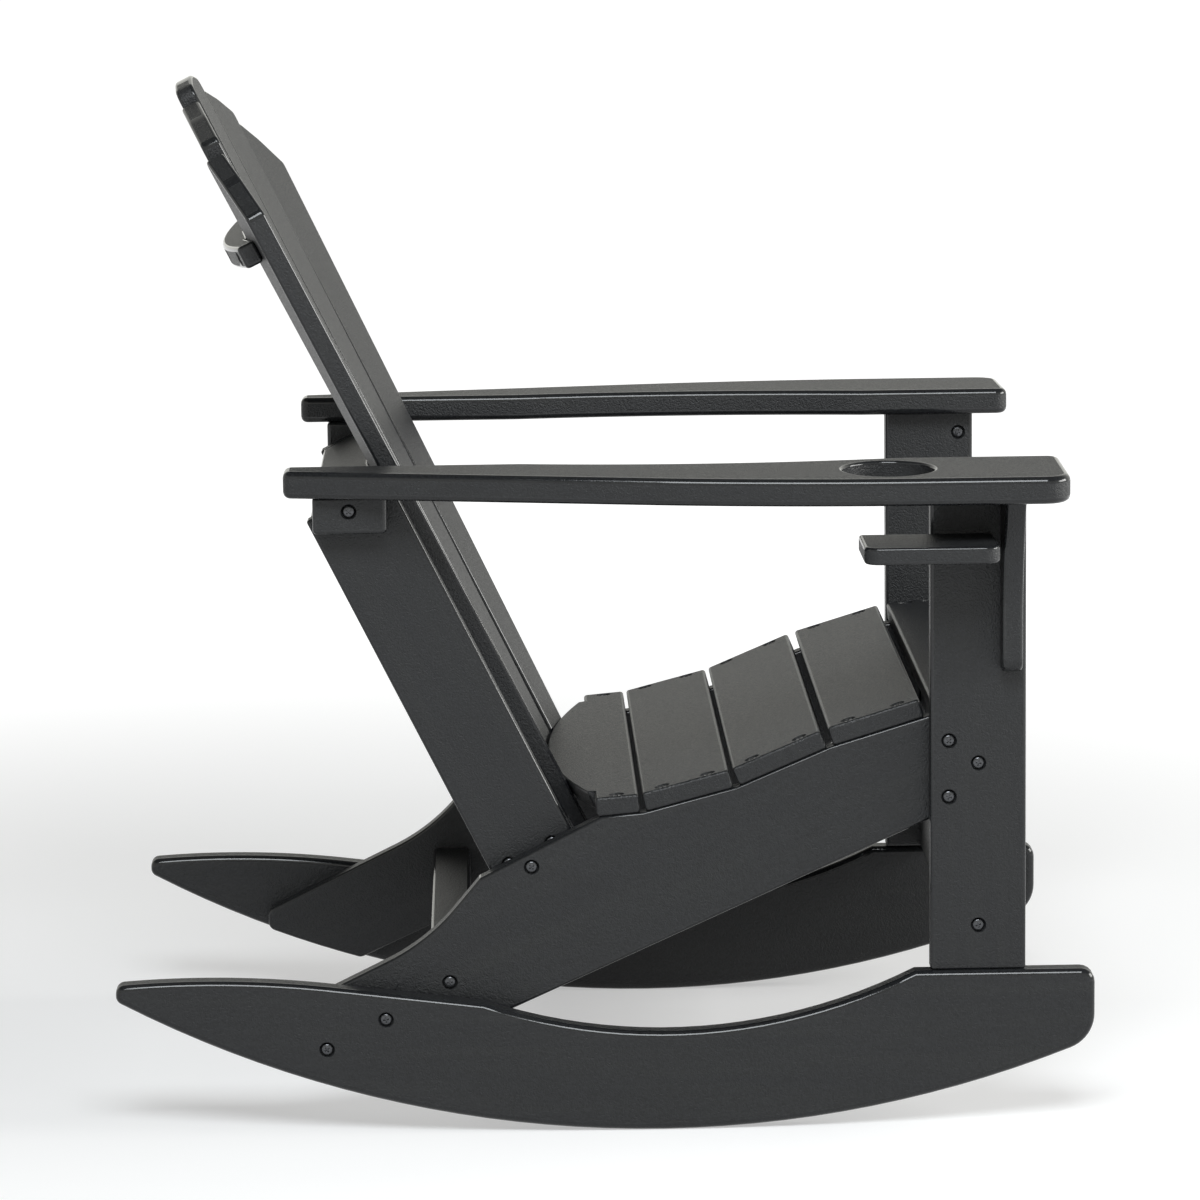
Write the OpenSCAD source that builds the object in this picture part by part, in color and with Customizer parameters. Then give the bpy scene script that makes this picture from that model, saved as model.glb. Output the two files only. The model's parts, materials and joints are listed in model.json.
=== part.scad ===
// Rocking adirondack chair, screwed together from flat boards on two curved runners.
// The sitter faces -Y, so their right hand, with the cup holder, is on the -X side.
// Z is up from the floor, and Y is measured from the middle of the runners' length.

/* [Board stock] */
// Thickness of the legs, side rails, posts and stretchers
plank_t = 19; // [18:0.5:20]
// Thickness of the seat and back slats
slat_t = 18; // [17:0.5:19]
// Thickness of the runners, arms and curved rails
heavy_t = 25.4; // [24:0.1:27]
// Width of the common board
board_w = 89; // [87:1:90]
// Side of the square bar between the side rails
bar_w = 38; // [34:1:40]
// Radius of the eased edges of the straight boards
edge_r = 3; // [1.5:0.5:4]

/* [Runners] */
// Overall length of a runner
rocker_l = 914; // [905:1:925]
// Rise of the floor curve at the rear tip of a runner
rocker_rise = 131; // [128:1:134]
// How far in front of the middle of the runners the chair rests
rest_forward = 52; // [50:1:54]
// Height of the flat that the front legs stand on
platform_z = 148; // [146:1:150]
// Radius of the arched cut in the top of a runner
arch_r = 520; // [510:1:530]
// Height of a runner at the lowest point of its arched cut
arch_z = 94; // [88:1:98]

/* [Seat] */
// Width over the side rails, which is the length of the seat slats
seat_w = 523.2; // [500:1:540]
// Gap between the undersides of the seat slats
slat_gap = 6; // [5.5:0.1:6.4]
// Width of the two middle seat slats
slat_w = 89; // [88:0.5:89.5]
// Width of the slat next to the rear one
slat_w_low = 84; // [83:0.5:84.5]
// Width of the front slat
slat_w_front = 86; // [82:1:87]
// Width of the rear slat at its ends
slat_w_rear = 40.5; // [40:0.5:42]

/* [Back] */
// Lean of the back from the vertical
lean = 26.4; // [26:0.1:26.8]
// Half width of the back at the seat
back_half = 162.4; // [158:0.1:164]
// Growth of that half width for each unit of length up the back
back_flare = 0.163; // [0.155:0.001:0.165]
// Depth of the hollow of the back
back_hollow = 20; // [17:0.5:21]
// Gap between the back slats
back_gap = 8; // [7:0.5:10]
// Length of the middle slat above the seat
back_h = 742; // [730:1:755]

/* [Arms] */
// Height of the top of the arms
arm_z = 626.6; // [620:1:640]
// Tilt of the arms, down on their outer side
arm_tilt = 1.4; // [0:0.1:2]
// Distance from the middle of the chair to the outer edge of an arm
arm_half = 363.5; // [355:1:370]
// Diameter of the hole that takes a cup
cup_d = 84; // [76:1:88]

/* [Hidden] */
$fn = 72;
corner_steps = 5;
curve_steps = 24;
big_fn = 360;

board_col = "#3a3b3d";
screw_col = "#1b1c1d";

// Overrun shared by all cuts, and the size of the blocks that cut whole sides away
over = 1;
far = 900;
// Clearance round a screw, and beside a board that is slid in
screw_gap = 0.1;
side_gap = 0.4;

// Faces of the boards that stand along the sides, outward from the middle
rail_out = seat_w / 2;
rail_in = rail_out - plank_t;
post_in = rail_in - plank_t;
leg_out = rail_out + plank_t;
rocker_out = rail_out + heavy_t;

// Pan head screws in round recesses
head_d = 11;
head_t = 3;
shank_d = 5;
recess_d = 14;
recess_t = 4;
short_screw_l = 32;
runner_screw_l = 36;
long_screw_l = 58;

// Runner, whose floor curve is the circle through its resting point and its rear tip
rest_y = -rest_forward;
rocker_reach = rocker_l / 2 + rest_forward;
rocker_r = (pow(rocker_reach, 2) + pow(rocker_rise, 2)) / (2 * rocker_rise);
arch_shift = 6;
arch_y = rest_y - arch_shift;
tail_slope = 7.2;
crown_back = 77;
crown_y = rocker_l / 2 - crown_back;
crown_top = 149;
crown_r = 1000;
tip_r = 8;
toe_r = 35;
brow_r = 13;
runner_screw_z = [82.6, 110.4];

// Side rail
nose_back = 121;
nose_y = rocker_l / 2 - nose_back;
runner_screw_back = [74.6, 130.1];
runner_screw_y = [for (b = runner_screw_back) nose_y - b];
nose_r = 9;
nose_z = 95.6;
hollow_y = 167;
hollow_z = 178;
hollow_r = 195;
heel_y = 116.3;
heel_z = 238.4;
heel_r = 5;
heel_a = 26.6;
rail_lift = 2;
rail_low_y = -303;
rail_low_z = 287.3;
rail_low_a = 24.1;
post_screw_y = 68.1;
post_screw_z = 248.2;

// Front legs, and the two boards between them
leg_rear_y = -303.3;
leg_front_y = leg_rear_y - board_w;
leg_screw_y = -320.5;
leg_screw_z = [312.9, 365.9];
apron_y = -338.5;
apron_low = 300;
apron_screw_z = [190.5, 344.6];

// Square bar between the side rails
bar_y = 146;
bar_z = 139;

// Seat slats from the rear one forward, placed by the rear lower corner of the first
seat_y = 6.5;
seat_z = 294.9;
seat_slope = [5, 14.6, 22.9, 16.9, 5];
seat_widths = [slat_w_rear, slat_w_low, slat_w, slat_w, slat_w_front];
rear_half = 227;
rear_reach = 55;
seat_arc_r = 820;
seat_clear = 3;
seat_screw_l = 38;
seat_screw_shares = [[0.5], [0.24, 0.76], [0.23, 0.77], [0.23, 0.77], [0.22, 0.5]];

// Back, placed by the front face of its middle slat at the seat
back_y = 52.5;
back_z = 309;
slat_low = -72;
hollow_shares = [0, 0.165, 0.665];
slat_turn = [0, 4.5, 9.3];
top_inner_shares = [0.988, 0.969, 0.909];
top_outer_shares = [0.988, 0.928, 0.838];
top_middle_shares = [1, 0.952, 0.877];
top_r = [14, 8, 8];
crest_r = 144;
post_w = 86;
post_front = 7;
post_low = -90;
post_top = 335.7;

// Curved rails behind the back slats
rail_set_back = 2.5;
lower_rail_low = -52;
upper_rail_low = 566.3;
upper_rail_t = 22;
upper_rail_half = 225;
upper_rail_rear = -46;
upper_rail_r = 968;
upper_screw_x = [16, 88, 120, 209];
upper_screw_l = [39, 37, 34, 29];
post_screw_w = [-15, -60];

// Arms
arm_pivot = 250;
arm_front_y = -426;
arm_rear_y = 292;
arm_bend_y = -169;
arm_bend_l = 131;
arm_out_rear = 276.4;
arm_bend_turn = atan2(arm_half - arm_out_rear, arm_rear_y - arm_bend_y);
arm_bend_r = arm_bend_l / tan(arm_bend_turn / 2);
arm_in_rear = rail_in + side_gap;
arm_w = 124.5;
arm_in_front = arm_half - arm_w;
arm_waist_in = 16.4;
arm_waist_x = arm_in_front + arm_waist_in;
arm_waist_y = -90;
arm_waist_r = 1080;
arm_front_r = 24;
arm_front_in_r = 12;
arm_rear_r = 8;
cup_out = 61.2;
cup_x = arm_half - cup_out;
cup_y = -263;
cup_ease = 3;

// Block under the rear of an arm
block_front_y = 197.6;
block_rear_y = 265.7;
block_low = 566;
block_r = 4;
block_screw_y = 232.2;
block_screw_z = 587;
block_screw_l = 38;
block_rise_y = [212, 254];
block_rise_l = 48;

// Bracket under the front of an arm
bracket_y = -368;
bracket_low = 433;
bracket_foot = 24;
bracket_head = 66;
bracket_foot_r = 14;
bracket_bend_z = 520;
bracket_bend_r = 160;
bracket_screw_z = [462, 580];
bracket_screw_l = 36;

// Shelf under the cup hole
shelf_rear_y = -237;
shelf_front_y = -361;
shelf_out = arm_half;
shelf_top = 561;
shelf_t = 16;
shelf_r = 14;
shelf_screw_y = [-318, -346];

// Arc about c from angle a0 to a1
function arc(c, r, a0, a1, n) =
  [for (i = [0 : n]) let (a = a0 + (a1 - a0) * i / n) [c[0] + r * cos(a), c[1] + r * sin(a)]];

// Arc of radius r in the corner b between a and c
function corner(a, b, c, r) =
  let (
    u = (a - b) / norm(a - b),
    v = (c - b) / norm(c - b),
    half = acos(u * v) / 2,
    o = b + (u + v) / norm(u + v) * r / sin(half),
    p = b + u * r / tan(half) - o,
    q = b + v * r / tan(half) - o,
    s = atan2(p[1], p[0]),
    d = atan2(q[1], q[0]) - s,
    turn = d > 180 ? d - 360 : (d < -180 ? d + 360 : d)
  )
  arc(o, r, s, s + turn, r > toe_r ? curve_steps : corner_steps);

// Closed outline from corners given as [x, y, radius]
function rounded(pts) =
  let (n = len(pts))
  [for (i = [0 : n - 1])
    let (a = pts[(i + n - 1) % n], b = pts[i], c = pts[(i + 1) % n])
    each b[2] > 0
      ? corner([a[0], a[1]], [b[0], b[1]], [c[0], c[1]], b[2])
      : [[b[0], b[1]]]];

// Section of a board with eased edges
function section(w, t, r = edge_r) = rounded([[0, 0, r], [w, 0, r], [w, t, r], [0, t, r]]);

// Where the line through p at angle a meets the line through q at angle b
function meet(p, a, q, b) =
  let (d = q - p, k = (d[0] * sin(b) - d[1] * cos(b)) / sin(b - a))
  p + k * [cos(a), sin(a)];

// Centre of a rounding, its middle at y, that runs into the floor curve raised by lift
function floor_corner(y, r, lift) =
  [y, rocker_r - sqrt(pow(rocker_r - lift - r, 2) - pow(y - rest_y, 2))];
function floor_angle(c) = atan2(c[1] - rocker_r, c[0] - rest_y);

// Rear lower corner of seat slat i, going forward from slat to slat
function slat_step(i, l) = l * [-cos(seat_slope[i]), sin(seat_slope[i])];
function slat_at(i) =
  i == 0
    ? [seat_y, seat_z]
    : gap_at(i - 1) + slat_step(i, slat_gap / 2);
function gap_at(i) = slat_at(i) + slat_step(i, seat_widths[i] + slat_gap / 2);
// Height of the underside of the front slat
function front_under(y) = slat_at(4)[1] + (slat_at(4)[0] - y) * tan(seat_slope[4]);

// Half width of the whole back, and of one slat, at a height v along it
function back_w(v) = back_half + back_flare * v;
function slat_half(v) = (back_w(v) - 2 * back_gap) / 5;
function slat_x(k, v) = k * (2 * back_w(v) + back_gap) / 5;
function slat_fan(k) = atan(k * 2 * back_flare / 5);
// Place of the upper back rail's rear edge behind the front of the middle slat
function upper_rear(x) = upper_rail_rear + upper_rail_r - sqrt(pow(upper_rail_r, 2) - x * x);

// All sides are drawn on the left, and the right is their mirror image
module on_right() {
  mirror([1, 0, 0])
    children();
}

// Both sides of the chair
module both() {
  children();
  on_right()
    children();
}

// A board standing along the side of the chair, from x outward
module side_board(x, t) {
  translate([x, 0, 0])
    rotate([90, 0, 90])
      linear_extrude(t)
        children();
}

// A board lying across the chair
module cross_board(half) {
  side_board(-half, 2 * half)
    children();
}

// Frame of the back: X across, Y up the slats, Z out of the middle slat's front face
module on_back() {
  translate([0, back_y, back_z])
    rotate([90 - lean, 0, 0])
      children();
}

// A board standing up the back, from the height v
module back_board(v, l) {
  on_back()
    translate([0, v, 0])
      rotate([-90, 0, 0])
        linear_extrude(l)
          mirror([0, 1, 0])
            children();
}

// Frame of one back slat: Y along its middle line, Z out of its front face
module on_slat(k) {
  on_back()
    translate([slat_x(k, 0), 0, back_hollow * hollow_shares[k]])
      rotate([0, 0, -slat_fan(k)])
        rotate([0, -slat_turn[k], 0])
          children();
}

// Frame of an arm: Z is zero on its top face
module on_arm() {
  translate([arm_pivot, 0, arm_z])
    rotate([0, arm_tilt, 0])
      translate([-arm_pivot, 0, 0])
        children();
}

// Cuts what stands under an arm to its underside
module under_arm() {
  difference() {
    children();
    on_arm()
      translate([0, -far / 2, -heavy_t])
        cube([far, far, far]);
  }
}

// Frame of seat slat i: Y forward along its width, Z up through it
module on_seat(i) {
  translate([0, slat_at(i)[0], slat_at(i)[1]])
    rotate([-seat_slope[i], 0, 0])
      mirror([0, 1, 0])
        children();
}

// A screw driven down from Z = 0, or the hole that it sits in
module fixing(l, hole) {
  head = hole ? recess_d : head_d;
  rise = hole ? recess_t + 2 * over : head_t;
  shank = hole ? shank_d + 2 * screw_gap : shank_d;
  translate([0, 0, -recess_t])
    cylinder(d = head, h = rise);
  translate([0, 0, -l])
    cylinder(d = shank, h = l - recess_t);
}

// A screw driven inward from the outer face x
module outer_fixing(x, y, z, l, hole) {
  translate([x, y, z])
    rotate([0, 90, 0])
      fixing(l, hole);
}

// A screw driven outward from the inner face x
module inner_fixing(x, y, z, l, hole) {
  translate([x, y, z])
    rotate([0, -90, 0])
      fixing(l, hole);
}

// Through a runner into the tail of the side rail
module rocker_fixings(hole) {
  for (i = [0, 1])
    outer_fixing(rocker_out, runner_screw_y[i], runner_screw_z[i], runner_screw_l, hole);
}

// Through a leg into the side rail, the apron and the front stretcher
module leg_fixings(hole) {
  for (z = leg_screw_z)
    outer_fixing(leg_out, leg_screw_y, z, short_screw_l, hole);
  for (z = apron_screw_z)
    outer_fixing(leg_out, apron_y - plank_t / 2, z, long_screw_l, hole);
}

// Through a side rail into the post and the square bar
module rail_fixings(hole) {
  outer_fixing(rail_out, post_screw_y, post_screw_z, short_screw_l, hole);
  outer_fixing(rail_out, bar_y, bar_z, long_screw_l, hole);
}

// Through the block into the post, and up through it into the arm
module block_fixings(hole) {
  outer_fixing(rail_in + heavy_t, block_screw_y, block_screw_z, block_screw_l, hole);
  for (y = block_rise_y)
    translate([rail_in + heavy_t / 2, y, block_low])
      rotate([180, 0, 0])
        fixing(block_rise_l, hole);
}

// From inside, through a leg into the bracket
module bracket_fixings(hole) {
  for (z = bracket_screw_z)
    inner_fixing(rail_out, bracket_y - plank_t / 2, z, bracket_screw_l, hole);
}

// From inside, through the right leg into the cup shelf
module shelf_fixings(hole) {
  for (y = shelf_screw_y)
    inner_fixing(rail_out, y, shelf_top - shelf_t / 2, long_screw_l, hole);
}

// Down through the end of seat slat i into the side rail
module seat_fixings(i, hole) {
  for (s = seat_screw_shares[i])
    on_seat(i)
      translate([rail_out - plank_t / 2, s * seat_widths[i], slat_t])
        fixing(seat_screw_l, hole);
}

// Through a post into the ends of the middle and lower back rails
module post_fixings(hole) {
  for (v = [lower_rail_low, post_top - heavy_t])
    for (w = post_screw_w)
      on_back()
        translate([rail_in, v + heavy_t / 2, w])
          rotate([0, 90, 0])
            fixing(long_screw_l, hole);
}

// From behind, through the upper back rail into the slats
module upper_fixings(hole) {
  for (i = [0 : len(upper_screw_x) - 1])
    on_back()
      translate([upper_screw_x[i], upper_rail_low + upper_rail_t / 2, upper_rear(upper_screw_x[i])])
        rotate([180, 0, 0])
          fixing(upper_screw_l[i], hole);
}

// Outline of a runner. Its floor curve is a true circle.
module rocker_outline() {
  toe = floor_corner(-rocker_l / 2 + toe_r, toe_r, 0);
  tip = floor_corner(rocker_l / 2 - tip_r, tip_r, 0);
  crown = [crown_y, crown_top - crown_r];
  tail = crown + crown_r * [-sin(tail_slope), cos(tail_slope)];
  tip_top = [tip[0], crown[1] + sqrt(pow(crown_r - tip_r, 2) - pow(tip[0] - crown_y, 2))];
  a_toe = floor_angle(toe);
  a_tip = floor_angle(tip);
  a_top = atan2(tip_top[1] - crown[1], tip_top[0] - crown[0]);
  toe_end = toe + toe_r * [cos(a_toe), sin(a_toe)];
  tip_end = tip + tip_r * [cos(a_tip), sin(a_tip)];
  difference() {
    intersection() {
      translate([rest_y, rocker_r])
        circle(r = rocker_r, $fn = 2 * big_fn);
      polygon(concat(
        arc(toe, toe_r, a_toe, -180, 2 * corner_steps),
        arc([toe[0] - toe_r + brow_r, platform_z - brow_r], brow_r, 180, 90, corner_steps),
        [
          [arch_y, platform_z],
          [arch_y, tail[1] + (arch_y - tail[0]) * tan(tail_slope)]
        ],
        arc(crown, crown_r, 90 + tail_slope, a_top, curve_steps),
        arc(tip_top, tip_r, a_top, 0, corner_steps),
        arc(tip, tip_r, 0, a_tip, corner_steps),
        [
          tip_end + rocker_l / 2 * [sin(a_tip), -cos(a_tip)],
          toe_end + rocker_l / 2 * [-sin(a_toe), cos(a_toe)]
        ]
      ));
    }
    translate([arch_y, arch_z + arch_r])
      circle(r = arch_r, $fn = big_fn);
  }
}

module rocker() {
  color(board_col)
    difference() {
      side_board(rail_out, heavy_t)
        rocker_outline();
      rocker_fixings(true);
    }
}

// Outline of a side rail, with a flat for each seat slat along its top
module side_rail_outline() {
  nose = floor_corner(nose_y - nose_r, nose_r, rail_lift);
  a_nose = floor_angle(nose);
  nose_end = nose + nose_r * [cos(a_nose), sin(a_nose)];
  low = [rail_low_y, rail_low_z];
  heel_end = meet([heel_y, heel_z], -heel_a, slat_at(0), -seat_slope[0]);
  intersection() {
    translate([rest_y, rocker_r])
      circle(r = rocker_r - rail_lift, $fn = 2 * big_fn);
    polygon(concat(
      rounded([
        [nose_y, nose[1], 0],
        [nose_y, nose_z, nose_r],
        [hollow_y, hollow_z, hollow_r],
        [heel_y, heel_z, heel_r],
        [heel_end[0], heel_end[1], 0]
      ]),
      [
        gap_at(0),
        gap_at(1),
        gap_at(2),
        gap_at(3),
        [apron_y, front_under(apron_y)],
        meet(low, -rail_low_a, [apron_y, 0], 90),
        meet(low, -rail_low_a, nose_end, a_nose + 90)
      ],
      arc(nose, nose_r, a_nose, 0, corner_steps)
    ));
  }
}

module side_rail() {
  color(board_col)
    difference() {
      side_board(rail_in, plank_t)
        side_rail_outline();
      rocker_fixings(true);
      leg_fixings(true);
      rail_fixings(true);
      for (i = [0 : 4])
        seat_fixings(i, true);
    }
}

module front_leg() {
  under_arm()
    translate([rail_out, leg_front_y, platform_z])
      linear_extrude(arm_z - platform_z)
        polygon(section(plank_t, board_w));
}

module left_leg() {
  color(board_col)
    difference() {
      front_leg();
      leg_fixings(true);
      bracket_fixings(true);
    }
}

module right_leg() {
  color(board_col)
    difference() {
      front_leg();
      leg_fixings(true);
      bracket_fixings(true);
      shelf_fixings(true);
    }
}

module back_post() {
  color(board_col)
    difference() {
      back_board(post_low, post_top - post_low)
        translate([post_in, post_front - post_w])
          polygon(section(plank_t, post_w));
      rail_fixings(true);
      block_fixings(true);
      post_fixings(true);
    }
}

// Outline of an arm seen from above
module arm_outline() {
  difference() {
    polygon(rounded([
      [arm_in_rear, arm_rear_y, arm_rear_r],
      [arm_out_rear, arm_rear_y, arm_rear_r],
      [arm_half, arm_bend_y, arm_bend_r],
      [arm_half, arm_front_y, arm_front_r],
      [arm_in_front, arm_front_y, arm_front_in_r],
      [arm_in_front, arm_waist_y, 0],
      [arm_in_rear, arm_waist_y, 0]
    ]));
    translate([arm_waist_x - arm_waist_r, arm_waist_y])
      circle(r = arm_waist_r, $fn = 2 * big_fn);
  }
}

module arm() {
  difference() {
    on_arm()
      translate([0, 0, -heavy_t])
        linear_extrude(heavy_t)
          arm_outline();
    block_fixings(true);
  }
}

module left_arm() {
  color(board_col)
    arm();
}

// Hole for a cup, with rounded rims
module cup_hole() {
  on_arm()
    translate([cup_x, cup_y, -heavy_t]) {
      translate([0, 0, -over])
        cylinder(d = cup_d, h = heavy_t + 2 * over);
      for (z = [0, heavy_t - cup_ease])
        translate([0, 0, z])
          rotate_extrude()
            difference() {
              square([cup_d / 2 + cup_ease, cup_ease]);
              translate([cup_d / 2 + cup_ease, z > 0 ? 0 : cup_ease])
                circle(r = cup_ease);
            }
    }
}

module right_arm() {
  color(board_col)
    difference() {
      arm();
      cup_hole();
    }
}

module arm_block() {
  color(board_col)
    difference() {
      under_arm()
        side_board(rail_in, heavy_t)
          translate([block_front_y, block_low])
            polygon(section(block_rear_y - block_front_y, arm_z - block_low, block_r));
      block_fixings(true);
    }
}

module arm_bracket() {
  color(board_col)
    difference() {
      under_arm()
        translate([0, bracket_y, 0])
          rotate([90, 0, 0])
            linear_extrude(plank_t)
              polygon(rounded([
                [leg_out, bracket_low, edge_r],
                [leg_out + bracket_foot, bracket_low, bracket_foot_r],
                [leg_out + bracket_foot, bracket_bend_z, bracket_bend_r],
                [leg_out + bracket_head, arm_z, 0],
                [leg_out, arm_z, 0]
              ]));
      bracket_fixings(true);
    }
}

module cup_shelf() {
  color(board_col)
    difference() {
      translate([0, 0, shelf_top - shelf_t])
        linear_extrude(shelf_t)
          polygon(rounded([
            [leg_out, shelf_front_y, edge_r],
            [shelf_out, shelf_front_y, shelf_r],
            [shelf_out, shelf_rear_y, shelf_r],
            [leg_out, shelf_rear_y, edge_r]
          ]));
      shelf_fixings(true);
    }
}

module front_apron() {
  color(board_col)
    difference() {
      cross_board(rail_out)
        polygon(rounded([
          [apron_y, apron_low, edge_r],
          [apron_y, front_under(apron_y), 0],
          [apron_y - plank_t, front_under(apron_y - plank_t), 0],
          [apron_y - plank_t, apron_low, edge_r]
        ]));
      both() {
        leg_fixings(true);
        seat_fixings(4, true);
      }
    }
}

module front_stretcher() {
  color(board_col)
    difference() {
      cross_board(rail_out)
        translate([apron_y - plank_t, platform_z])
          polygon(section(plank_t, board_w));
      both()
        leg_fixings(true);
    }
}

module rear_stretcher() {
  color(board_col)
    difference() {
      cross_board(rail_in)
        translate([bar_y - bar_w / 2, bar_z - bar_w / 2])
          polygon(section(bar_w, bar_w));
      both()
        rail_fixings(true);
    }
}

// Straight seat slat i
module seat_plank(i, half) {
  on_seat(i)
    cross_board(half)
      polygon(section(seat_widths[i], slat_t));
}

module seat_slat(i, half) {
  color(board_col)
    difference() {
      seat_plank(i, half);
      both()
        seat_fixings(i, true);
    }
}

// The rear slat reaches back into the hollow of the back
module rear_seat_slat() {
  color(board_col)
    difference() {
      union() {
        seat_plank(0, rail_out);
        intersection() {
          on_seat(0)
            translate([-rear_half, -rear_reach, 0])
              cube([2 * rear_half, rear_reach + seat_widths[0] / 2, slat_t]);
          on_back()
            translate([0, -far / 2, seat_clear + seat_arc_r])
              rotate([-90, 0, 0])
                cylinder(r = seat_arc_r, h = far, $fn = 2 * big_fn);
        }
      }
      both()
        seat_fixings(0, true);
    }
}

// Tapered back slat, number k from the middle, with its own slanting top
module back_slat(k) {
  low = slat_half(slat_low);
  inner = back_h * top_inner_shares[k];
  outer = back_h * top_outer_shares[k];
  color(board_col)
    difference() {
      on_slat(k)
        translate([0, 0, -slat_t])
          linear_extrude(slat_t)
            polygon(rounded([
              [-low, slat_low, edge_r],
              [low, slat_low, edge_r],
              [slat_half(outer), outer, top_r[k]],
              [0, back_h * top_middle_shares[k], crest_r],
              [-slat_half(inner), inner, top_r[k]]
            ]));
      both()
        upper_fixings(true);
    }
}

// Takes away all that stands in front of the rear faces of the slats
module behind_slats() {
  low = -far / 4;
  side = back_gap / 2 + over;
  difference() {
    children();
    for (k = [0, 1, 2])
      both()
        on_slat(k)
          translate([0, 0, -slat_t])
            linear_extrude(far)
              polygon([
                [-slat_half(low) - side, low],
                [-slat_half(far) - side, far],
                [slat_half(far) + (k == 2 ? far : side), far],
                [slat_half(low) + (k == 2 ? far : side), low]
              ]);
  }
}

// Curved rail between the posts, from the height v
module post_rail(v) {
  color(board_col)
    difference() {
      behind_slats()
        back_board(v, heavy_t)
          translate([-post_in, post_front - post_w + rail_set_back])
            square([2 * post_in, post_w - rail_set_back]);
      both()
        post_fixings(true);
    }
}

module upper_back_rail() {
  color(board_col)
    difference() {
      behind_slats()
        back_board(upper_rail_low, upper_rail_t)
          intersection() {
            translate([-upper_rail_half, -far / 2])
              square([2 * upper_rail_half, far]);
            translate([0, upper_rail_rear + upper_rail_r])
              circle(r = upper_rail_r, $fn = 2 * big_fn);
          }
      both()
        upper_fixings(true);
    }
}

module rocker_screws() {
  color(screw_col)
    both()
      rocker_fixings(false);
}

module leg_screws() {
  color(screw_col)
    both()
      leg_fixings(false);
}

module rail_screws() {
  color(screw_col)
    both()
      rail_fixings(false);
}

module arm_screws() {
  color(screw_col)
    both() {
      block_fixings(false);
      bracket_fixings(false);
    }
}

module shelf_screws() {
  color(screw_col)
    on_right()
      shelf_fixings(false);
}

module seat_screws() {
  color(screw_col)
    both()
      for (i = [0 : 4])
        seat_fixings(i, false);
}

module back_screws() {
  color(screw_col)
    both() {
      post_fixings(false);
      upper_fixings(false);
    }
}

on_right() rocker();  // rocker_right
rocker();  // rocker_left
on_right() side_rail();  // side_rail_right
side_rail();  // side_rail_left
on_right() right_leg();  // front_leg_right
left_leg();  // front_leg_left
on_right() back_post();  // back_post_right
back_post();  // back_post_left
on_right() right_arm();  // arm_right
left_arm();  // arm_left
on_right() arm_block();  // arm_block_right
arm_block();  // arm_block_left
on_right() arm_bracket();  // arm_bracket_right
arm_bracket();  // arm_bracket_left
on_right() cup_shelf();
front_apron();
front_stretcher();
rear_stretcher();
rear_seat_slat();
seat_slat(1, rail_out);  // low_seat_slat
seat_slat(2, rail_out);  // middle_seat_slat
seat_slat(3, rail_out);  // high_seat_slat
seat_slat(4, rail_out - side_gap);  // front_seat_slat
back_slat(0);  // centre_back_slat
on_right() back_slat(1);  // inner_back_slat_right
back_slat(1);  // inner_back_slat_left
on_right() back_slat(2);  // outer_back_slat_right
back_slat(2);  // outer_back_slat_left
upper_back_rail();
post_rail(post_top - heavy_t);  // middle_back_rail
post_rail(lower_rail_low);  // lower_back_rail
rocker_screws();
leg_screws();
rail_screws();
arm_screws();
shelf_screws();
seat_screws();
back_screws();
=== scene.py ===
import json
import math

import bmesh
import bpy
from mathutils import Euler, Matrix, Vector


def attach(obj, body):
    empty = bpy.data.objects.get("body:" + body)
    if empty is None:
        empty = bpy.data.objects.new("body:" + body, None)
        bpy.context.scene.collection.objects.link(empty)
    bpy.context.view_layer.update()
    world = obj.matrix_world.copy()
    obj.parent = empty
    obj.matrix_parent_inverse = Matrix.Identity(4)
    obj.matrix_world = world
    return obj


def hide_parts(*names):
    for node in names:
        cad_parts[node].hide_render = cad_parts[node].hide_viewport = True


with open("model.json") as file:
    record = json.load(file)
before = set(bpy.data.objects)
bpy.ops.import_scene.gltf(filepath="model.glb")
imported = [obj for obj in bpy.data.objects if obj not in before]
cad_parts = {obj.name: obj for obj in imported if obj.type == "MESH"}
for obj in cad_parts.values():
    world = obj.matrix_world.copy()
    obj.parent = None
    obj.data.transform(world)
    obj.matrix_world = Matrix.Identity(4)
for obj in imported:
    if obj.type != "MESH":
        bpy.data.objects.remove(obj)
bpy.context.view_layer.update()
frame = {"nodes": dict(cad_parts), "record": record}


# Runners: two heavy boards on edge, of black moulded lumber (recycled HDPE, extruded through
# a die). They are bandsawn to the floor curve and to the arch, rounded over all round with a
# router, and screwed to the tails of the side rails through round recesses.
RUNNER_EASE = 0.006
SCREW_NODES = ("rocker_screws", "leg_screws", "rail_screws", "arm_screws", "shelf_screws",
               "seat_screws", "back_screws")
HEAD_R = 0.0055
HEAD_T = 0.003
SHANK_R = 0.0025
RECESS_R = 0.007
RECESS_T = 0.004
HOLE_R = 0.0026
MOUTH_CHAMFER = 0.0005
HOLE_STEPS = 32
OVER = 0.002  # how far a cutter stands out of the skin
NEAR = 0.0003  # how near counts as the same place
LIP = 0.003  # how far the skin may rise above a hole's mouth, on a curved board
SHARP = math.radians(28)  # edges sharper than this are rounded over
CREASE = math.radians(40)  # and those that still are, are shaded sharp
SLACK = math.radians(0.3)  # facets closer than this are one face
STRIP_W = 0.0021  # widest strip of a rounded edge

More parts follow.
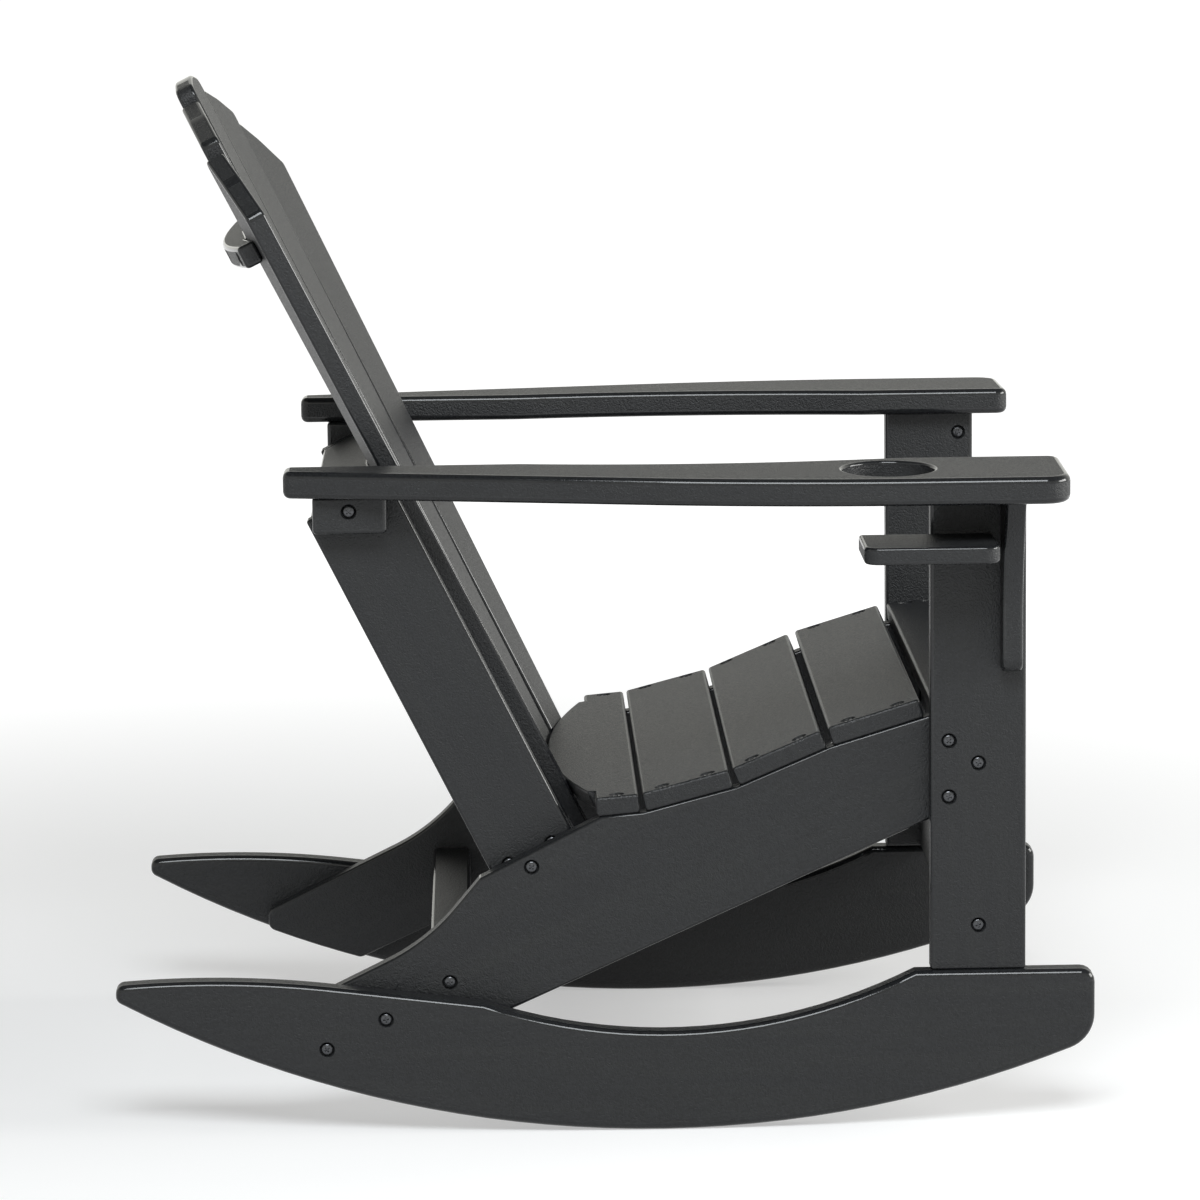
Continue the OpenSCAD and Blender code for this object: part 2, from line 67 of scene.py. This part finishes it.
BLACK = "#1f2022"
BLACK_DEEP = "#1a1b1d"
BLACK_PALE = "#292a29"
PEBBLE_MM = 2.4
GRAIN_MM = 1.3
STREAK_MM = 11.0
CLOUD_MM = 140.0
SEED_STEP = (0.37, 0.71, 0.13)
STREAK_PULL = 0.05
STREAKS = (0.4, 0.75)
STREAK_SHARE = 0.3
SPECKS = (0.35, 0.65)
SPECK_TONES = (0.74, 1.26)
SKIN_DENTS = (0.3, 0.7)
PEBBLE_DEEP = 0.001
GRAIN_DEEP = 0.0005
BUMPS = (0.8, 0.03)
SKIN_ROUGH = (0.39, 0.53)
ROUTED_ROUGH = 0.09
SKIN_GLOSS = 0.36


def linear(code):
    """The linear colour of an sRGB hex code, with its alpha."""
    parts = [int(code[i:i + 2], 16) / 255.0 for i in (1, 3, 5)]
    return [c / 12.92 if c <= 0.04045 else ((c + 0.055) / 1.055) ** 2.4 for c in parts] + [1.0]


def add(tree, kind, inputs=(), **settings):
    """A shader node with its settings, and a value or a link for each input named."""
    made = tree.nodes.new(kind)
    for name, value in settings.items():
        setattr(made, name, value)
    for name, value in dict(inputs).items():
        if isinstance(value, bpy.types.NodeSocket):
            tree.links.new(value, made.inputs[name])
        else:
            made.inputs[name].default_value = value
    return made


def material_tree(name):
    material = bpy.data.materials.new(name)
    material.use_nodes = True
    material.node_tree.nodes.clear()
    return material, material.node_tree


def lumber(name, along, seed):
    """Black moulded lumber. The die leaves a satin skin with a fine pebble and faint streaks
    along the board, and the router leaves its edges smooth, so that they catch the light.
    The pebble is drawn coarser than it is, or it would be finer than a pixel."""
    material, tree = material_tree(name)
    place = add(tree, "ShaderNodeTexCoord").outputs["Object"]
    turn = Vector(along).to_track_quat("X", "Z").inverted().to_euler()
    turned = add(tree, "ShaderNodeMapping", {
        "Vector": place, "Rotation": turn, "Location": [seed * step for step in SEED_STEP]})
    turned = turned.outputs["Vector"]
    drawn = add(tree, "ShaderNodeMapping", {"Vector": turned, "Scale": (STREAK_PULL, 1.0, 1.0)})
    streak = add(tree, "ShaderNodeTexNoise", {
        "Vector": drawn.outputs["Vector"], "Scale": 1000.0 / STREAK_MM, "Detail": 4.0})
    cloud = add(tree, "ShaderNodeTexNoise", {
        "Vector": turned, "Scale": 1000.0 / CLOUD_MM, "Detail": 3.0})
    pebble = add(tree, "ShaderNodeTexNoise", {
        "Vector": turned, "Scale": 1000.0 / PEBBLE_MM, "Detail": 3.0, "Roughness": 0.6})
    grain = add(tree, "ShaderNodeTexVoronoi", {
        "Vector": turned, "Scale": 1000.0 / GRAIN_MM}, feature="SMOOTH_F1")
    routed = add(tree, "ShaderNodeAttribute", attribute_name="routed").outputs["Fac"]
    base = add(tree, "ShaderNodeMix", {
        "Factor": cloud.outputs["Fac"], "A": linear(BLACK_DEEP), "B": linear(BLACK)},
        data_type="RGBA")
    streaked = add(tree, "ShaderNodeMapRange", {
        "Value": streak.outputs["Fac"], "From Min": STREAKS[0], "From Max": STREAKS[1],
        "To Max": STREAK_SHARE})
    streaky = add(tree, "ShaderNodeMix", {
        "Factor": streaked.outputs["Result"], "A": base.outputs["Result"],
        "B": linear(BLACK_PALE)}, data_type="RGBA")
    specks = add(tree, "ShaderNodeMapRange", {
        "Value": pebble.outputs["Fac"], "From Min": SPECKS[0], "From Max": SPECKS[1],
        "To Min": SPECK_TONES[0], "To Max": SPECK_TONES[1]})
    colour = add(tree, "ShaderNodeVectorMath", {
        0: streaky.outputs["Result"], "Scale": specks.outputs["Result"]}, operation="SCALE")
    skin = add(tree, "ShaderNodeMapRange", {
        "Value": pebble.outputs["Fac"], "From Min": SKIN_DENTS[0], "From Max": SKIN_DENTS[1],
        "To Min": SKIN_ROUGH[0], "To Max": SKIN_ROUGH[1]})
    rough = add(tree, "ShaderNodeMix", {
        "Factor": routed, "A": skin.outputs["Result"], "B": ROUTED_ROUGH}, data_type="FLOAT")
    depth = add(tree, "ShaderNodeMapRange", {
        "Value": routed, "To Min": BUMPS[0], "To Max": BUMPS[1]})
    dents = add(tree, "ShaderNodeBump", {
        "Height": pebble.outputs["Fac"], "Strength": depth.outputs["Result"],
        "Distance": PEBBLE_DEEP})
    fine = add(tree, "ShaderNodeBump", {
        "Height": grain.outputs["Distance"], "Normal": dents.outputs["Normal"],
        "Strength": depth.outputs["Result"], "Distance": GRAIN_DEEP})
    shader = add(tree, "ShaderNodeBsdfPrincipled", {
        "Base Color": colour.outputs["Vector"], "Roughness": rough.outputs["Result"],
        "Normal": fine.outputs["Normal"], "IOR": 1.5,
        "Specular IOR Level": SKIN_GLOSS})
    add(tree, "ShaderNodeOutputMaterial", {"Surface": shader.outputs["BSDF"]})
    return material


def islands(mesh):
    """The points of each separate solid in a mesh."""
    bm = bmesh.new()
    bm.from_mesh(mesh)
    bmesh.ops.remove_doubles(bm, verts=bm.verts, dist=1e-6)
    left, found = set(bm.verts), []
    for first in bm.verts:
        if first not in left:
            continue
        left.remove(first)
        queue, group = [first], []
        while queue:
            vert = queue.pop()
            group.append(vert.co.copy())
            for other in (edge.other_vert(vert) for edge in vert.link_edges):
                if other in left:
                    left.remove(other)
                    queue.append(other)
        found.append(group)
    bm.free()
    return found


def screw_line(spots):
    """The mouth of a screw's hole, the direction out of it, and its length, from the points
    of the plain CAD screw: its tip is the narrow end, and its head the wide one."""
    far = max(spots, key=lambda s: sum((s - o).length for o in spots))
    tips = [s for s in spots if (s - far).length < 2 * SHANK_R + 1e-5]
    tip = sum(tips, Vector()) / len(tips)
    reach = max((s - tip).length for s in spots)
    tops = [s for s in spots if (s - tip).length > reach - 1e-5]
    top = sum(tops, Vector()) / len(tops)
    out = (top - tip).normalized()
    mouth = top + out * (RECESS_T - HEAD_T)
    return mouth, out, (mouth - tip).length


screw_lines = {name: [screw_line(spots) for spots in islands(frame["nodes"][name].data)]
               for name in SCREW_NODES}


def close_hole(bm, mouth, out, length, radius):
    """Takes a hole's walls away and closes the skin over it. True if there was a hole."""
    def within(vert):
        away = vert.co - mouth
        depth = -away.dot(out)
        return -LIP < depth < length + NEAR and (away + out * depth).length < radius
    inside = {v for v in bm.verts if within(v)}
    walls = [f for f in bm.faces if all(v in inside for v in f.verts)]
    if not walls:
        return False
    bmesh.ops.delete(bm, geom=walls, context="FACES")
    bmesh.ops.holes_fill(bm, edges=[e for e in bm.edges if e.is_boundary], sides=0)
    return True


def turned_form(profile, steps):
    """A solid turned round Z from a profile of (radius, height) points."""
    bm = bmesh.new()
    verts = [bm.verts.new((r, 0.0, z)) for r, z in profile]
    edges = [bm.edges.new(pair) for pair in zip(verts, verts[1:])]
    bmesh.ops.spin(bm, geom=verts + edges, cent=(0, 0, 0), axis=(0, 0, 1),
                   angle=2 * math.pi, steps=steps, use_merge=True)
    bmesh.ops.remove_doubles(bm, verts=bm.verts, dist=1e-6)
    bmesh.ops.recalc_face_normals(bm, faces=bm.faces)
    return bm


def screw_drill(length):
    """The stepped drill that cuts a screw's hole, its recess and the recess's small chamfer."""
    mouth_r = RECESS_R + MOUTH_CHAMFER + NEAR
    return turned_form([
        (0.0, -length), (HOLE_R, -length), (HOLE_R, -RECESS_T), (RECESS_R, -RECESS_T),
        (RECESS_R, -MOUTH_CHAMFER), (mouth_r, NEAR), (mouth_r, LIP), (0.0, LIP)], HOLE_STEPS)


def put(whole, part, matrix):
    """Adds one bmesh to another at a place."""
    bmesh.ops.transform(part, verts=part.verts, matrix=matrix)
    mesh = bpy.data.meshes.new("part")
    part.to_mesh(mesh)
    part.free()
    whole.from_mesh(mesh)
    bpy.data.meshes.remove(mesh)


def facing(mouth, out):
    """The place of a thing whose Z runs out of a hole and whose origin is at its mouth."""
    return Matrix.Translation(mouth) @ out.to_track_quat("Z", "Y").to_matrix().to_4x4()


def bored(mesh, drills, crossing=False):
    """The mesh with the drills cut out of it, which may be crossing each other."""
    piece = bpy.data.objects.new("blank", mesh)
    tool_mesh = bpy.data.meshes.new("drills")
    drills.to_mesh(tool_mesh)
    drills.free()
    tool = bpy.data.objects.new("drills", tool_mesh)
    for thing in (piece, tool):
        bpy.context.scene.collection.objects.link(thing)
    cut = piece.modifiers.new("holes", "BOOLEAN")
    cut.operation = "DIFFERENCE"
    cut.solver = "EXACT"
    cut.use_self = crossing
    cut.use_hole_tolerant = True
    cut.object = tool
    done = bpy.data.meshes.new_from_object(
        piece.evaluated_get(bpy.context.evaluated_depsgraph_get()))
    for thing in (piece, tool):
        bpy.data.objects.remove(thing)
    return done


def mark_routed(mesh, holes, gloss):
    """Marks how smooth the router or the die left the narrow strips of the rounded edges. The
    holes' own walls and chamfers stay as dull as the skin."""
    bm = bmesh.new()
    bm.from_mesh(mesh)
    routed = bm.faces.layers.float.new("routed")
    for face in bm.faces:
        longest = max(edge.calc_length() for edge in face.edges)
        spot = face.calc_center_median()
        drilled = any((spot - mouth).cross(out).length < RECESS_R + 2 * MOUTH_CHAMFER
                      and -length < (spot - mouth).dot(out) < LIP for mouth, out, length in holes)
        strip = face.calc_area() < STRIP_W * longest
        face[routed] = gloss if strip and not drilled else 0.0
    bm.to_mesh(mesh)
    bm.free()


def board(name, along, seed, ease, steps=4, hole=None, weld=NEAR / 3, gloss=1.0):
    """A board made as the real one is: sawn to its outline, rounded over along it, and then
    drilled. It starts from a copy of the CAD board, with the holes closed for the rounding."""
    bm = bmesh.new()
    bm.from_mesh(frame["nodes"][name].data)
    bmesh.ops.remove_doubles(bm, verts=bm.verts, dist=1e-6)
    drills = bmesh.new()
    holes = [line for lines in screw_lines.values() for line in lines
             if close_hole(bm, *line, RECESS_R + NEAR)]
    for mouth, out, length in holes:
        put(drills, screw_drill(length), facing(mouth, out))
    if hole:
        mouth, out, length, radius, form = hole
        close_hole(bm, mouth, out, length, radius + NEAR)
        put(drills, form, facing(mouth, out))
    bmesh.ops.dissolve_limit(bm, angle_limit=SLACK, verts=bm.verts, edges=bm.edges)
    bmesh.ops.remove_doubles(bm, verts=bm.verts, dist=weld)
    rims = [e for e in bm.edges
            if e.is_manifold and e.is_convex and e.calc_face_angle(0.0) > SHARP]
    bmesh.ops.bevel(bm, geom=rims, offset=ease, segments=steps, affect="EDGES",
                    profile=0.5, material=-1, clamp_overlap=False)
    bmesh.ops.recalc_face_normals(bm, faces=bm.faces)
    mesh = bpy.data.meshes.new(name + "_board")
    bm.to_mesh(mesh)
    bm.free()
    if drills.verts:
        mesh = bored(mesh, drills)
        mesh.name = name + "_board"
    mark_routed(mesh, holes, gloss)
    mesh.shade_smooth()
    mesh.set_sharp_from_angle(angle=CREASE)
    mesh.materials.clear()
    mesh.materials.append(lumber("moulded lumber " + name, along, seed))
    piece = bpy.data.objects.new(name + "_board", mesh)
    bpy.context.scene.collection.objects.link(piece)
    weigh = piece.modifiers.new("flat faces stay flat", "WEIGHTED_NORMAL")
    weigh.keep_sharp = True
    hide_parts(name)
    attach(piece, "root")


for count, side in enumerate(("right", "left")):
    board("rocker_" + side, (0, 1, 0), 1 + count, RUNNER_EASE, 5)


# Side rails: sloping boards of the same lumber inside the runners, sawn to the scoop of the
# seat. They run down behind as tails, to which the runners are screwed.
RAIL_EASE = 0.003
RAIL_ALONG = (0, 0.9, -0.42)
for count, side in enumerate(("right", "left")):
    board("side_rail_" + side, RAIL_ALONG, 3 + count, RAIL_EASE)


# Front legs: upright one-by-four boards of the same lumber, with the die's own rounded edges.
# They stand on the flat of each runner, and are screwed to the side rail and the apron.
LEG_EASE = 0.0024
for count, side in enumerate(("right", "left")):
    board("front_leg_" + side, (0, 0, 1), 5 + count, LEG_EASE, 3)


# Back posts: leaning boards of the same lumber inside the side rails, screwed to them. They
# carry the back between them and the arms' blocks outside them.
LEAN = (0, 0.4446, 0.8957)
for count, side in enumerate(("right", "left")):
    board("back_post_" + side, LEAN, 7 + count, LEG_EASE, 3)


# Arms: heavy wide boards of the same lumber, curved on both edges and well rounded over with
# a router. The right one has the hole for a cup, cut with a hole saw and eased at both rims.
ARM_EASE = 0.006
CUP_EASE = 0.003
CUP_STEPS = 6
CUP_TURN_STEPS = 96


def cup_cutter():
    """The cup hole's mouth, direction, length, widest radius and the solid that it takes out."""
    mount = next(m for m in frame["record"]["mounts"] if m["name"] == "cup_hole")
    out = Vector(mount["axis"])
    radius = mount["dims"]["r_mm"] / 1000.0
    straight = mount["dims"]["length_mm"] / 1000.0
    length = straight + 2 * CUP_EASE
    mouth = Vector(mount["pos_m"]) + out * length / 2
    rim = [(radius + CUP_EASE * (1 - math.cos(a)), CUP_EASE * math.sin(a))
           for a in (math.pi / 2 * i / CUP_STEPS for i in range(CUP_STEPS + 1))]
    lower = [(r, -CUP_EASE - straight - h) for r, h in reversed(rim)]
    upper = [(r, -CUP_EASE + h) for r, h in rim]
    form = turned_form([(0.0, -length - OVER), (lower[0][0], -length - OVER)] + lower + upper
                       + [(upper[-1][0], OVER), (0.0, OVER)], CUP_TURN_STEPS)
    return mouth, out, length, radius + CUP_EASE, form


board("arm_right", (0, 1, 0), 9, ARM_EASE, 5, cup_cutter())
board("arm_left", (0, 1, 0), 10, ARM_EASE, 5)


# Blocks that carry the rear of the arms: short heavy boards, screwed to the outside of the
# posts. Brackets under the front of the arms: boards on edge, screwed to the legs from inside.
BLOCK_EASE = 0.0035
BRACKET_EASE = 0.0028
for count, side in enumerate(("right", "left")):
    board("arm_block_" + side, (0, 1, 0), 11 + count, BLOCK_EASE)
    board("arm_bracket_" + side, (0, 0, 1), 13 + count, BRACKET_EASE)


# Shelf under the cup hole: a small board of the same lumber, screwed to the right leg from
# inside it. Its corners and edges are rounded over.
SHELF_EASE = 0.0029
board("cup_shelf", (0, 1, 0), 15, SHELF_EASE)


# Apron, stretcher and square bar: straight lumber with the die's rounded edges, which ties
# the two sides together and is screwed through the legs and the side rails.
for count, name in enumerate(("front_apron", "front_stretcher", "rear_stretcher")):
    board(name, (1, 0, 0), 16 + count, LEG_EASE, 3)


# Seat slats: boards laid across the side rails and screwed down at their ends. The rear one
# is sawn to the hollow of the back, into which it reaches.
SEAT_EASE = 0.0028
SEAT_GLOSS = 0.3
for count, name in enumerate(("rear_seat_slat", "low_seat_slat", "middle_seat_slat",
                              "high_seat_slat", "front_seat_slat")):
    board(name, (1, 0, 0), 19 + count, SEAT_EASE, gloss=SEAT_GLOSS)


# Back slats: five boards sawn to a taper and set in a fan and a hollow, with slanting tops
# that make one round line. They are screwed to the curved rails from behind.
SLAT_EASE = 0.0029
for count, name in enumerate(("centre_back_slat", "inner_back_slat_right",
                              "inner_back_slat_left", "outer_back_slat_right",
                              "outer_back_slat_left")):
    board(name, LEAN, 24 + count, SLAT_EASE)


# Back rails: heavy boards sawn to the curve of the back. The upper one stands free behind
# the slats, and the other two are fixed between the posts by long screws. The
# slivers at the ends of their curves are welded, or the rounding would cross itself there.
CURVED_EASE = 0.0035
SLIVER = 0.0007
for count, name in enumerate(("upper_back_rail", "middle_back_rail", "lower_back_rail")):
    board(name, (1, 0, 0), 29 + count, CURVED_EASE, weld=SLIVER)


# Screws: black coated steel with pan heads and a cross recess, driven into the stepped holes
# so that the heads lie just under the skin of the boards.
COAT = "#3a3b3d"
COAT_PALE = "#58595c"
DOME_EDGE_T = 0.0012
DOME_SHARES = ((1.0, 0.0), (0.97, 0.35), (0.87, 0.65), (0.70, 0.86), (0.5, 0.96))
CROSS_R = 0.0033
CROSS_W = 0.0009
CROSS_DEEP = 0.0024
CROSS_TAPER = 0.7
CROSS_SLACK = 1.03  # one bar of the cross is wider, so that no two faces are in one plane
POINT_L = 0.005
HEAD_STEPS = 24
SPIN_STEP = 1.1
HEAD_CREASE = math.radians(32)
SPECKS_PER_M = 900.0


def coated_steel():
    """Black coated steel. Fine specks in the coat break up the small glints on the heads."""
    material, tree = material_tree("black coated steel")
    place = add(tree, "ShaderNodeTexCoord").outputs["Object"]
    specks = add(tree, "ShaderNodeTexNoise", {
        "Vector": place, "Scale": SPECKS_PER_M, "Detail": 2.0})
    rough = add(tree, "ShaderNodeMapRange", {
        "Value": specks.outputs["Fac"], "To Min": 0.12, "To Max": 0.24})
    coat = add(tree, "ShaderNodeMix", {
        "Factor": specks.outputs["Fac"], "A": linear(COAT), "B": linear(COAT_PALE)},
        data_type="RGBA")
    shader = add(tree, "ShaderNodeBsdfPrincipled", {
        "Base Color": coat.outputs["Result"], "Roughness": rough.outputs["Result"],
        "Metallic": 0.7})
    add(tree, "ShaderNodeOutputMaterial", {"Surface": shader.outputs["BSDF"]})
    return material


def screw_form(length):
    """One screw, with Z = 0 at the mouth of its hole. The cross is pressed into a flat on
    the dome of its head."""
    seat = -RECESS_T
    dome = HEAD_T - DOME_EDGE_T
    flat_r = HEAD_R * DOME_SHARES[-1][0]
    flat_z = seat + DOME_EDGE_T + dome * DOME_SHARES[-1][1]
    bm = bmesh.new()
    disc = bmesh.ops.create_circle(bm, cap_ends=True, segments=HEAD_STEPS,
                                   radius=flat_r)["verts"]
    bmesh.ops.translate(bm, verts=disc, vec=(0, 0, flat_z))
    rim = list(bm.edges)
    spots = [(HEAD_R * r, seat + DOME_EDGE_T + dome * z) for r, z in reversed(DOME_SHARES[:-1])]
    spots += [(HEAD_R, seat), (SHANK_R, seat), (SHANK_R, POINT_L - length), (SHANK_R / 8, -length)]
    for radius, height in spots:
        grown = bmesh.ops.extrude_edge_only(bm, edges=rim)["geom"]
        ring = {g for g in grown if isinstance(g, bmesh.types.BMVert)}
        rim = [g for g in grown if isinstance(g, bmesh.types.BMEdge)
               and all(v in ring for v in g.verts)]
        for vert in ring:
            vert.co.xy = vert.co.xy.normalized() * radius
            vert.co.z = height
    bmesh.ops.holes_fill(bm, edges=rim, sides=0)
    bmesh.ops.recalc_face_normals(bm, faces=bm.faces)
    return bm


def cross_punch():
    """The tapered cross that the driver fits, as a solid to cut the heads with."""
    bm = bmesh.new()
    for turn in (0.0, math.pi / 2):
        bar = bmesh.ops.create_cube(bm, size=2.0)["verts"]
        for vert in bar:
            share = 1.0 if vert.co.z > 0 else CROSS_TAPER
            vert.co.x *= CROSS_R * share
            vert.co.y *= CROSS_W * (1.0 if turn else CROSS_SLACK) * share
            vert.co.z = OVER if vert.co.z > 0 else HEAD_T - RECESS_T - CROSS_DEEP
        bmesh.ops.rotate(bm, verts=bar, matrix=Matrix.Rotation(turn, 3, "Z"))
    return bm


def screws(name, steel):
    """Sets a screw in each hole of a group, each one turned differently, as driven screws
    are."""
    whole, punches = bmesh.new(), bmesh.new()
    for count, (mouth, out, length) in enumerate(screw_lines[name]):
        place = facing(mouth, out) @ Matrix.Rotation(count * SPIN_STEP, 4, "Z")
        put(whole, screw_form(length), place)
        put(punches, cross_punch(), place)
    mesh = bpy.data.meshes.new(name + "_set")
    whole.to_mesh(mesh)
    whole.free()
    mesh = bored(mesh, punches, crossing=True)
    mesh.name = name + "_set"
    mesh.shade_smooth()
    mesh.set_sharp_from_angle(angle=HEAD_CREASE)
    mesh.materials.clear()
    mesh.materials.append(steel)
    piece = bpy.data.objects.new(name + "_set", mesh)
    bpy.context.scene.collection.objects.link(piece)
    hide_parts(name)
    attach(piece, "root")


steel = coated_steel()
for name in SCREW_NODES:
    screws(name, steel)


# Studio: a matt white floor with a painted glow, weak near the chair and running out to white
# farther off, a broad softbox high on the camera's side, a long low one in front of the chair, and
# a soft white room that is darker overhead.
FLOOR_SIZE = 60.0
FLOOR_WHITE = 0.74
FLOOR_SEEN = 0.6
# painted light: the floor's glow is weak near the chair, where the floor reads darker, and near
# white from three metres out
GLOW = (0.43, 0.95)
GLOW_SPAN = (1.0, 3.0)
ROOM = (1.0, 0.15)
ROOM_SPAN = (0.3, 0.8)
ROOM_DIM = 0.4
ROOM_WARM = (1.0, 1.0, 0.94, 1.0)
SOFTBOXES = (
    ("side softbox", (-3.1, 0.0, 3.5), (-0.3, 0.0, 0.5), (2.2, 1.6), 150.0, (0.93, 0.97, 1.0)),
    ("front softbox", (-0.5, -4.2, 1.8), (-0.2, 0.0, 0.5), (3.0, 1.4), 170.0, (1.0, 1.0, 0.98)),
)


def seen_or_mirrored(tree):
    """One for the rays that show the studio itself, straight or in a gloss."""
    ray = add(tree, "ShaderNodeLightPath").outputs
    mirrored = add(tree, "ShaderNodeMath", {
        0: ray["Is Glossy Ray"], 1: ray["Is Transmission Ray"]}, operation="MAXIMUM")
    seen = add(tree, "ShaderNodeMath", {
        0: ray["Is Camera Ray"], 1: mirrored.outputs[0]}, operation="MAXIMUM")
    return seen.outputs[0]


def studio_floor():
    """A matt floor that keeps the chair's shadow. Its glow is painted light: weak near the chair,
    so that the floor there reads darker, and stronger the farther out it is.
    """
    bm = bmesh.new()
    bmesh.ops.create_grid(bm, x_segments=1, y_segments=1, size=FLOOR_SIZE / 2)
    mesh = bpy.data.meshes.new("studio_floor")
    bm.to_mesh(mesh)
    bm.free()
    material, tree = material_tree("matt white studio floor")
    seen_ray = seen_or_mirrored(tree)
    place = add(tree, "ShaderNodeTexCoord").outputs["Object"]
    away = add(tree, "ShaderNodeVectorMath", {0: place}, operation="LENGTH")
    # painted light: the glow rises with distance from the chair, so the floor near it is painted
    # darker
    painted_glow_ramp = add(tree, "ShaderNodeMapRange", {
        "Value": away.outputs["Value"], "From Min": GLOW_SPAN[0], "From Max": GLOW_SPAN[1],
        "To Min": GLOW[0], "To Max": GLOW[1]}, interpolation_type="SMOOTHSTEP")
    matt = add(tree, "ShaderNodeBsdfDiffuse", {"Color": [FLOOR_WHITE] * 3 + [1.0]})
    seen = add(tree, "ShaderNodeBsdfDiffuse", {"Color": [FLOOR_SEEN] * 3 + [1.0]})
    glow = add(tree, "ShaderNodeEmission", {"Strength": painted_glow_ramp.outputs["Result"]})
    both = add(tree, "ShaderNodeAddShader", {0: seen.outputs[0], 1: glow.outputs[0]})
    pick = add(tree, "ShaderNodeMixShader", {
        "Fac": seen_ray, 1: matt.outputs[0], 2: both.outputs[0]})
    add(tree, "ShaderNodeOutputMaterial", {"Surface": pick.outputs[0]})
    mesh.materials.append(material)
    floor = bpy.data.objects.new("studio_floor", mesh)
    bpy.context.scene.collection.objects.link(floor)


def softbox(name, at, to, size, power, colour):
    """An oblong lamp that is aimed at a point, and that the camera doesn't see."""
    light = bpy.data.lights.new(name, "AREA")
    light.shape = "RECTANGLE"
    light.size, light.size_y = size
    light.energy = power
    light.color = colour
    lamp = bpy.data.objects.new(name, light)
    lamp.location = at
    lamp.rotation_euler = (Vector(to) - Vector(at)).to_track_quat("-Z", "Y").to_euler()
    lamp.visible_camera = False
    bpy.context.scene.collection.objects.link(lamp)


def white_room():
    """White to the camera, a little warm in the gloss, and dimmer as a light on the boards."""
    world = bpy.data.worlds.new("white room")
    world.use_nodes = True
    tree = world.node_tree
    tree.nodes.clear()
    toward = add(tree, "ShaderNodeTexCoord").outputs["Generated"]
    height = add(tree, "ShaderNodeSeparateXYZ", {"Vector": toward}).outputs["Z"]
    wall = add(tree, "ShaderNodeMapRange", {
        "Value": height, "From Min": ROOM_SPAN[0], "From Max": ROOM_SPAN[1],
        "To Min": ROOM[0], "To Max": ROOM[1]}, interpolation_type="SMOOTHSTEP")
    dim = add(tree, "ShaderNodeMapRange", {"Value": seen_or_mirrored(tree), "To Min": ROOM_DIM})
    lit = add(tree, "ShaderNodeMath", {0: wall.outputs["Result"], 1: dim.outputs["Result"]},
              operation="MULTIPLY")
    seen_ray = add(tree, "ShaderNodeLightPath").outputs["Is Camera Ray"]
    colour = add(tree, "ShaderNodeMix", {
        "Factor": seen_ray, "A": ROOM_WARM, "B": (1.0, 1.0, 1.0, 1.0)}, data_type="RGBA")
    strength = add(tree, "ShaderNodeMix", {
        "Factor": seen_ray, "A": lit.outputs[0], "B": 1.0}, data_type="FLOAT")
    white = add(tree, "ShaderNodeBackground", {
        "Color": colour.outputs["Result"], "Strength": strength.outputs["Result"]})
    add(tree, "ShaderNodeOutputWorld", {"Surface": white.outputs[0]})
    bpy.context.scene.world = world


studio_floor()
white_room()
for box in SOFTBOXES:
    softbox(*box)
bpy.context.scene.view_settings.view_transform = "Standard"


# Camera: a long lens at the chair's right side, a little above the arms and looking down,
# placed so that the boards' corners fall where the photograph has them.
CAMERA_AT = (-5.0969, 0.1051, 1.3206)
CAMERA_DOWN = math.radians(9.627)
CAMERA_YAW = math.radians(1.229)
CAMERA_ROLL = math.radians(-0.648)
LENS_MM = 159.0
SENSOR_MM = 36.0


def aim_camera():
    """Sets the camera up, and makes it the scene's own."""
    lens = bpy.data.cameras.new("camera")
    lens.lens = LENS_MM
    lens.sensor_width = SENSOR_MM
    camera = bpy.data.objects.new("camera", lens)
    aim = Euler((math.pi / 2 - CAMERA_DOWN, 0.0, -math.pi / 2 - CAMERA_YAW)).to_matrix()
    roll = Matrix.Rotation(CAMERA_ROLL, 3, "Z")
    camera.matrix_world = Matrix.Translation(CAMERA_AT) @ (aim @ roll).to_4x4()
    bpy.context.scene.collection.objects.link(camera)
    bpy.context.scene.camera = camera


aim_camera()
